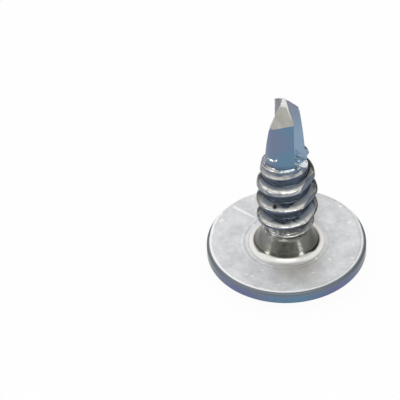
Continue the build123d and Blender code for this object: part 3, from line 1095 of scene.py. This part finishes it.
# %% Bump
relief_depth = 3e-5
dents = wire(nodes, NOISE, place_mm, named={"Scale": 1.8, "Detail": 1.0})
dent_depth = wire(nodes, MATH, above_neck, 1.4, 0.25, operation="MULTIPLY_ADD")
dent_share = zone((up_mm, 7.8, 8.4, 1.0, 0.4), inside=dent_depth)
dented = wire(nodes, MATH, dents, dent_share, **TIMES)
thread_zone = wire(nodes, MATH, on_thread, above_neck, **TIMES)
chatter = wire(nodes, MATH, thread_zone, mottle, **TIMES)
face_rings = wire(nodes, MATH, ringed, on_bearing, **TIMES)
relief = dented
for pattern, depth in ((chatter, 0.7), (fine_grain, 0.12), (face_rings, 0.25)):
    relief = wire(nodes, MATH, pattern, depth, relief, operation="MULTIPLY_ADD")
bump = wire(nodes, "ShaderNodeBump", named={"Height": relief, "Strength": 1.0, "Distance": relief_depth})
nodes.links.new(bump, shader.inputs["Normal"])
print("zinc plating:", len(nodes.nodes), "nodes")

# %% [markdown]
# ## Roll the thread onto the blank
# A modifier runs the tree on the blank, with each input set by its identifier before the object is
# first evaluated. What comes out is kept as a plain mesh, and the modifier is taken off again.

# %% Run the rolling tree
seed = 7
roller = blank.modifiers.new("roll_thread", "NODES")
roller.node_group = tree
settings = {**sizes, "Seed": seed, "Finish": zinc}
for item in tree.interface.items_tree:
    if item.item_type == "SOCKET" and item.in_out == "INPUT" and item.name in settings:
        roller[item.identifier] = settings[item.name]
blank.update_tag()
ready = blank.evaluated_get(bpy.context.evaluated_depsgraph_get())
screw_mesh = bpy.data.meshes.new_from_object(ready)
blank.modifiers.remove(roller)
screw_mesh.transform(Matrix.Scale(0.001, 4))    # from millimetres to metres
print("rolled:", len(screw_mesh.vertices), "points")

# %% [markdown]
# ## Smooth faces, sharp facets
# The whole skin is shaded smooth, because its rings are close enough to bend where it bends. Only the
# edge round the facets is marked sharp, as the grinding left it.

# %% Shade the skin and hand it over
for face in screw_mesh.polygons:
    face.use_smooth = True
ends = np.empty(2 * len(screw_mesh.edges), dtype=np.int32)
screw_mesh.edges.foreach_get("vertices", ends)
on_facet_edge = ((ends - 1) // columns == side_rings - 1).reshape(-1, 2).all(axis=1)
screw_mesh.attributes.new("sharp_edge", "BOOLEAN", "EDGE").data.foreach_set("value", on_facet_edge)
screw_mesh.name = "screw_skin"
screw = blank
screw.data = screw_mesh
screw.name = "screw_skin"
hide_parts("screw")
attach(screw, "root")
print("screw:", sum(len(p.vertices) - 2 for p in screw_mesh.polygons), "triangles")

# %% [markdown]
# ## Table
# The screw stands on a wide level sheet. One square face is enough for it: nothing of its thickness
# or its edges comes into the picture, and it only has to catch the screw's soft shadow.

# %% Floor
floor_level = cad_box[0][2]
floor_half = 0.25
floor_mesh = bpy.data.meshes.new("floor")
floor_corners = [(x * floor_half, y * floor_half, floor_level)
                 for x, y in ((-1, -1), (1, -1), (1, 1), (-1, 1))]
floor_mesh.from_pydata(floor_corners, [], [(0, 1, 2, 3)])
floor = bpy.data.objects.new("floor", floor_mesh)
scene.collection.objects.link(floor)
print("floor:", 2 * floor_half, "m wide")

# %% [markdown]
# ## Paper
# Uncoated white paper scatters nearly all light evenly, so its roughness is high and it shows no
# gloss. Lamps that made it plain white for the camera would burn out the screw. So the paper glows
# for camera rays, which still leaves it the soft shadow. Mirror and glass rays see the glow in part,
# so that bright metal shows pale paper and not a grey one.

# %% Paper
to_camera, to_mirrors = 0.95, 0.4
paper = bpy.data.materials.new("white_paper_matt")
paper.use_nodes = True
sheet = paper.node_tree
matt = sheet.nodes["Principled BSDF"]
matt.inputs["Base Color"].default_value = linear("#f4f4f4")
matt.inputs["Roughness"].default_value = 0.9
seen, mirrored, passed = (wire(sheet, "ShaderNodeLightPath", out=ray) for ray in (0, 3, 6))
reflected = wire(sheet, MATH, mirrored, passed, operation="MAXIMUM")
mirror_share = wire(sheet, MATH, reflected, to_mirrors, **TIMES)
glow_share = wire(sheet, MATH, seen, to_camera, mirror_share, operation="MULTIPLY_ADD")
white = wire(sheet, "ShaderNodeEmission", (1, 1, 1, 1), 1.0)
both = wire(sheet, "ShaderNodeMixShader", glow_share, matt.outputs[0], white)
sheet.links.new(both, sheet.nodes["Material Output"].inputs[0])
floor_mesh.materials.append(paper)
print("paper:", len(sheet.nodes), "nodes")

# %% [markdown]
# ## Studio
# Bright metal has hardly a colour of its own: it shows the room. So the world is painted as a studio.
# In front its wall is dim at mid height, and behind the screw it is dim at the horizon and white
# above. The right side counts as lower, so it is a little darker.

# %% World
world = bpy.data.worlds.new("studio")
world.use_nodes = True
sky = world.node_tree
way = wire(sky, "ShaderNodeTexCoord", out=0)
way_right, way_back, way_up = (wire(sky, SPLIT, way, out=axis) for axis in range(3))
right_side = wire(sky, MATH, way_right, 0.0, operation="MAXIMUM")
wall_height = wire(sky, MATH, right_side, -0.35, way_up, operation="MULTIPLY_ADD")


def wall(stops):
    """The brightness of a studio wall from the horizon to the ceiling."""
    ramp = sky.nodes.new("ShaderNodeValToRGB")
    sky.links.new(wall_height, ramp.inputs[0])
    while len(ramp.color_ramp.elements) < len(stops):
        ramp.color_ramp.elements.new(0.5)
    for element, (where, colour) in zip(ramp.color_ramp.elements, stops):
        element.position = where
        element.color = linear(colour)
    return ramp.outputs[0]


back_wall = wall([(0.0, "#5e5d58"), (0.12, "#6b6a64"), (0.28, "#e4e4e2"), (0.4, "#ffffff")])
front_wall = wall([(0.0, "#94938c"), (0.1, "#7c7b72"), (0.2, "#6a6960"),
                   (0.32, "#8f8f89"), (0.5, "#c4c5c3"), (0.8, "#ffffff")])
to_back = wire(sky, RANGE, way_back, -0.85, 0.3)
walls = wire(sky, MIX, named={0: to_back, 6: front_wall, 7: back_wall}, **COLOUR)
sky.links.new(walls, sky.nodes["Background"].inputs[0])
sky.nodes["Background"].inputs[1].default_value = 1.0
scene.world = world
print("studio:", len(sky.nodes), "nodes")

# %% [markdown]
# ## Lamps
# A wide soft lamp over the camera lights the facets and the bearing face. Two small ones near the
# table, left and right, draw bright lines on the neck and the crests.

# %% Lamps
screw_middle = Vector((0, 0, 0.005))


def lamp(name, place, wide, high, energy):
    """A soft lamp, wide and high, that looks at the screw."""
    light = bpy.data.lights.new(name, "AREA")
    light.energy = energy
    light.shape = "RECTANGLE"
    light.size, light.size_y = wide, high
    made = bpy.data.objects.new(name, light)
    place = Vector(place)
    turn = (place - screw_middle).to_track_quat("Z", "Y")
    made.matrix_world = Matrix.Translation(place) @ turn.to_matrix().to_4x4()
    scene.collection.objects.link(made)
    print(name, round((place - screw_middle).length, 2), "m away")


lamp("over_the_camera", (0.0, -0.32, 0.32), 0.40, 0.10, 0.42)
lamp("low_left", (-0.37, -0.14, 0.035), 0.10, 0.06, 0.12)
lamp("low_right", (0.30, -0.24, 0.035), 0.07, 0.06, 0.10)
